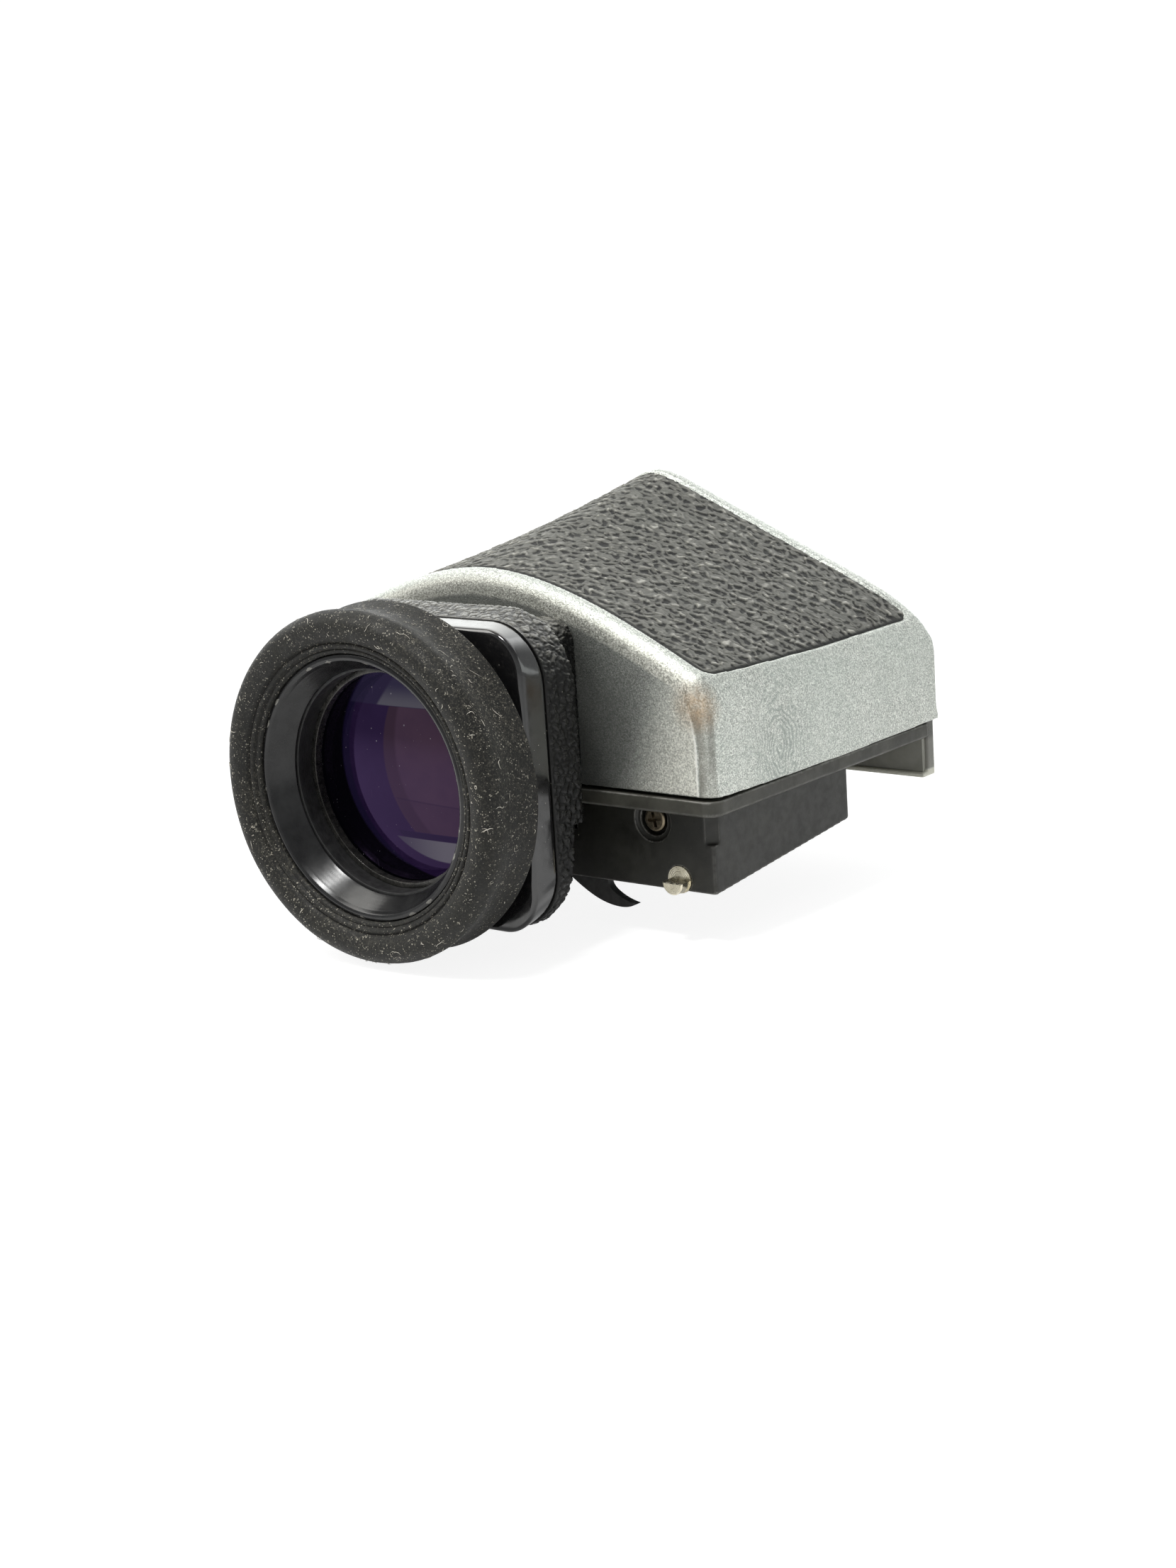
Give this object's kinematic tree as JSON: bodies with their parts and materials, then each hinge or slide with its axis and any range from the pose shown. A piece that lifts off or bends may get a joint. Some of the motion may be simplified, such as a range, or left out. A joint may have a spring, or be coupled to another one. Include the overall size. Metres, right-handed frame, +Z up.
{
  "type": "prism viewfinder",
  "caption": "Interchangeable eye-level roof-prism viewfinder with vaulted leatherette-covered metal shell, square eyepiece hood, round rubber eyecup and a well block with locking pins and a latch claw.",
  "frame": {"origin": "on the seating plane (underside of the base flange), in the finder's middle plane, at the reference point the well block is laid out from", "axes": "+Z up, +Y from the eyepiece towards the front face, +X to the right seen from behind the eyepiece"},
  "size_m": [0.0744, 0.0766, 0.0534],
  "materials": {
    "satin_silver": "satin metallic paint",
    "leatherette": "pebble grain",
    "black_moulding": "matte",
    "grained_moulding": "leather grain moulded in",
    "gloss_moulding": "gloss",
    "satin_black_metal": "satin black anodised",
    "matt_black_metal": "matt black paint",
    "rubber": "dusty matte",
    "coated_glass": "purple anti-reflection coating",
    "clear_glass": "polished",
    "nickel": "turned, slightly yellow",
    "black_screw": "blackened",
    "zinc_steel": "zinc plated",
    "foam": "open cell foam",
    "spring_steel": "bright"
  },
  "bodies": {
    "finder": {"base_flange": "black_moulding", "block_screws": "black_screw", "claw_pivot_pin": "nickel", "claw_spring": "spring_steel", "cradle_screws": "zinc_steel", "entrance_window": "clear_glass", "exit_mask": "matt_black_metal", "eye_lens": "coated_glass", "eyecup_ring": "satin_black_metal", "eyepiece_front_frame": "gloss_moulding", "eyepiece_housing": "grained_moulding", "flange_screws": "black_screw", "front_liner": "black_moulding", "housing_screws": "zinc_steel", "leatherette_panel": "leatherette", "lens_barrel": "matt_black_metal", "lens_retaining_ring": "satin_black_metal", "lens_spacer": "matt_black_metal", "locking_pins": "nickel", "outer_shell": "satin_silver", "prism_cradle": "matt_black_metal", "prism_pads": "foam", "prism_strap": "spring_steel", "rear_lens": "coated_glass", "rear_lock_ring": "matt_black_metal", "roof_prism": "clear_glass", "well_block": "black_moulding", "window_retainer": "matt_black_metal"},
    "claw": {"latch_claw": "matt_black_metal"},
    "eyecup": {"rubber_eyecup": "rubber"}
  },
  "joints": [
    {"name": "claw_hinge", "type": "hinge", "parent": "finder", "child": "claw", "pos_m": [0.0096, -0.01225, -0.0083], "axis": [0, 1, 0], "range_deg": [-12, 6], "stiffness_Nm_per_rad": 0.0005},
    {"name": "eyecup_turn", "type": "hinge", "parent": "finder", "child": "eyecup", "pos_m": [0, -0.038, 0.0057], "axis": [0, 1, 0], "continuous": true}
  ]
}
